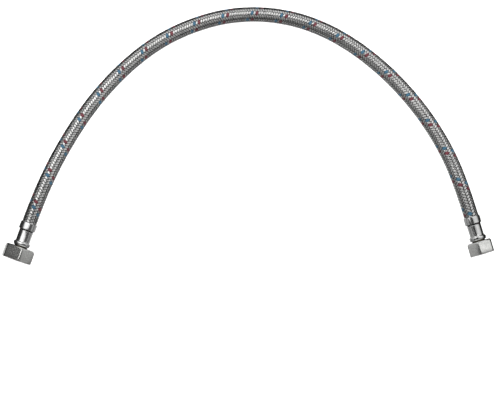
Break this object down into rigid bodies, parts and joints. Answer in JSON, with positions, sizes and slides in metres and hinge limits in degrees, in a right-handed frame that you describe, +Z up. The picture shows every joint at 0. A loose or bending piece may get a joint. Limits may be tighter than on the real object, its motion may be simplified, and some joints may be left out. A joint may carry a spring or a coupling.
{
  "type": "braided supply line",
  "caption": "Flexible water supply line: rubber tube in woven stainless braid with two tracer yarns, crimped ferrules, and a large and a small loose hexagon nut with gaskets, laid in an arch.",
  "frame": {"origin": "on the surface that the line lies on, in the middle of the box around the two fittings", "axes": "+X from the large fitting towards the small one, +Y towards the crown of the arch, +Z up"},
  "size_m": [0.4148, 0.2173, 0.0273],
  "materials": {
    "braid": "bright woven stainless wire",
    "tube": "matt black EPDM rubber",
    "ferrule": "polished drawn stainless sheet",
    "stem": "turned brass, satin",
    "gasket": "matt moulded rubber",
    "nut": "nickel-plated brass, satin",
    "blue_yarn": "blue polyester tracer yarn",
    "red_yarn": "red polyester tracer yarn"
  },
  "bodies": {
    "hose": {"wire_braid": "braid", "inner_tube": "tube", "large_ferrule": "ferrule", "large_stem": "stem", "small_ferrule": "ferrule", "small_stem": "stem"},
    "large_gasket": {"large_gasket": "gasket"},
    "large_nut": {"large_nut": "nut"},
    "small_gasket": {"small_gasket": "gasket"},
    "small_nut": {"small_nut": "nut"}
  },
  "joints": [
    {"name": "large_nut_slide", "type": "slide", "parent": "hose", "child": "large_gasket", "axis": [-0.3373, -0.9414, 0], "range_m": [-0.0007, 0.0007]},
    {"name": "large_nut_spin", "type": "hinge", "parent": "large_gasket", "child": "large_nut", "pos_m": [-0.19372, -0.012, 0.01363], "axis": [-0.3373, -0.9414, 0], "continuous": true},
    {"name": "small_nut_slide", "type": "slide", "parent": "hose", "child": "small_gasket", "axis": [0.2873, -0.9578, 0], "range_m": [-0.0007, 0.0007]},
    {"name": "small_nut_spin", "type": "hinge", "parent": "small_gasket", "child": "small_nut", "pos_m": [0.19614, -0.00714, 0.01149], "axis": [0.2873, -0.9578, 0], "continuous": true}
  ]
}
